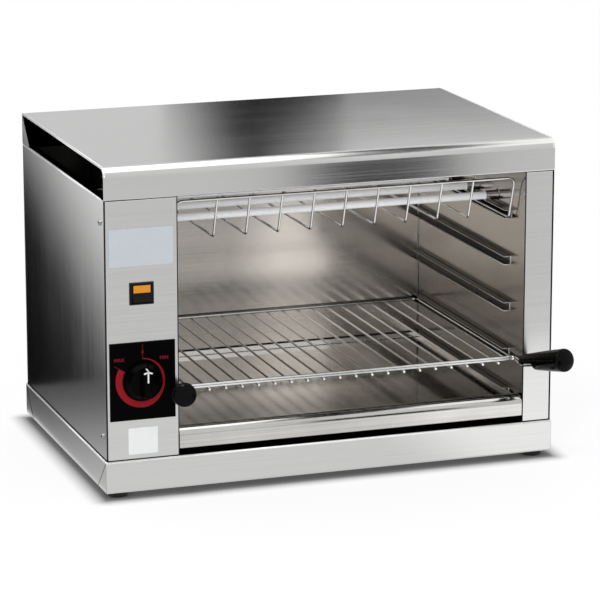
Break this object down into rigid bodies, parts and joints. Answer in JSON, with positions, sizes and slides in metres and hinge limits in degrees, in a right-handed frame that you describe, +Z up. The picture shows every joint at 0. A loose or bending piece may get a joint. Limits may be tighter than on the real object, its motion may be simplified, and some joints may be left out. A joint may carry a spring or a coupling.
{
  "type": "salamander grill",
  "caption": "Open-fronted counter-top grill in folded steel, with quartz tubes, a wire guard, a sliding wire rack, a drip tray, a rocker switch and a dial.",
  "frame": {"origin": "on the counter, under the middle of the whole grill", "axes": "+X to the right seen from the front, +Y to the back, +Z up; the open front faces -Y"},
  "size_m": [0.6004, 0.5074, 0.42],
  "materials": {
    "brushed_sheet": "brushed stainless sheet, grain along the width",
    "cavity_sheet": "bright rolled stainless sheet",
    "tray_sheet": "bright rolled stainless sheet",
    "plated_wire": "bright plated steel wire",
    "screw_steel": "plain machined steel",
    "foot_rubber": "dull moulded rubber",
    "quartz": "frosted quartz",
    "heating_wire": "oxidised resistance wire",
    "cap_metal": "bright turned metal",
    "black_plastic": "moulded heat-proof plastic, satin",
    "switch_plastic": "smooth moulded plastic",
    "amber_lens": "clear-coloured moulded lens",
    "terminal_brass": "plain stamped brass",
    "dial_black": "satin black print on sheet",
    "moulded_grey": "moulded phenolic"
  },
  "bodies": {
    "body": {"back_panel": "brushed_sheet", "back_screws": "screw_steel", "base_pan": "brushed_sheet", "cable_gland": "black_plastic", "cavity_back": "cavity_sheet", "cavity_wall_left": "cavity_sheet", "cavity_wall_right": "cavity_sheet", "ceiling": "cavity_sheet", "control_panel": "brushed_sheet", "dial_plate": "dial_black", "foot_back_left": "foot_rubber", "foot_back_right": "foot_rubber", "foot_front_left": "foot_rubber", "foot_front_right": "foot_rubber", "foot_screws": "screw_steel", "gland_nut": "black_plastic", "guard_bars": "plated_wire", "guard_frame": "plated_wire", "heating_coils": "heating_wire", "quartz_tube_1": "quartz", "quartz_tube_2": "quartz", "quartz_tube_3": "quartz", "quartz_tube_4": "quartz", "rail_guard_left": "cavity_sheet", "rail_guard_right": "cavity_sheet", "rail_middle_left": "cavity_sheet", "rail_middle_right": "cavity_sheet", "rail_rack_left": "cavity_sheet", "rail_rack_right": "cavity_sheet", "rail_tray_left": "cavity_sheet", "rail_tray_right": "cavity_sheet", "rail_upper_left": "cavity_sheet", "rail_upper_right": "cavity_sheet", "regulator": "moulded_grey", "regulator_nut": "screw_steel", "right_column": "brushed_sheet", "side_panel_left": "brushed_sheet", "side_panel_right": "brushed_sheet", "side_screws": "screw_steel", "switch_housing": "switch_plastic", "switch_terminals": "terminal_brass", "terminal_block": "moulded_grey", "top_cover": "brushed_sheet", "tube_bracket_left": "cavity_sheet", "tube_bracket_right": "cavity_sheet", "tube_caps_left": "cap_metal", "tube_caps_right": "cap_metal"},
    "rack": {"rack_frame": "plated_wire", "rack_front_wires": "plated_wire", "rack_grid": "plated_wire", "rack_handle_left": "black_plastic", "rack_handle_right": "black_plastic"},
    "tray": {"drip_tray": "tray_sheet"},
    "knob": {"control_knob": "black_plastic", "knob_shaft": "screw_steel"},
    "rocker": {"switch_rocker": "switch_plastic", "switch_lens": "amber_lens"}
  },
  "joints": [
    {"name": "rack_slide", "type": "slide", "parent": "body", "child": "rack", "axis": [0, -1, 0], "range_m": [0, 0.26]},
    {"name": "tray_slide", "type": "slide", "parent": "body", "child": "tray", "axis": [0, -1, 0], "range_m": [0, 0.28]},
    {"name": "knob_turn", "type": "hinge", "parent": "body", "child": "knob", "pos_m": [-0.25125, -0.16225, 0.15], "axis": [0, 1, 0], "range_deg": [0, 295]},
    {"name": "rocker_tilt", "type": "hinge", "parent": "body", "child": "rocker", "pos_m": [-0.25125, -0.15975, 0.261], "axis": [1, 0, 0], "range_deg": [0, 18]}
  ]
}
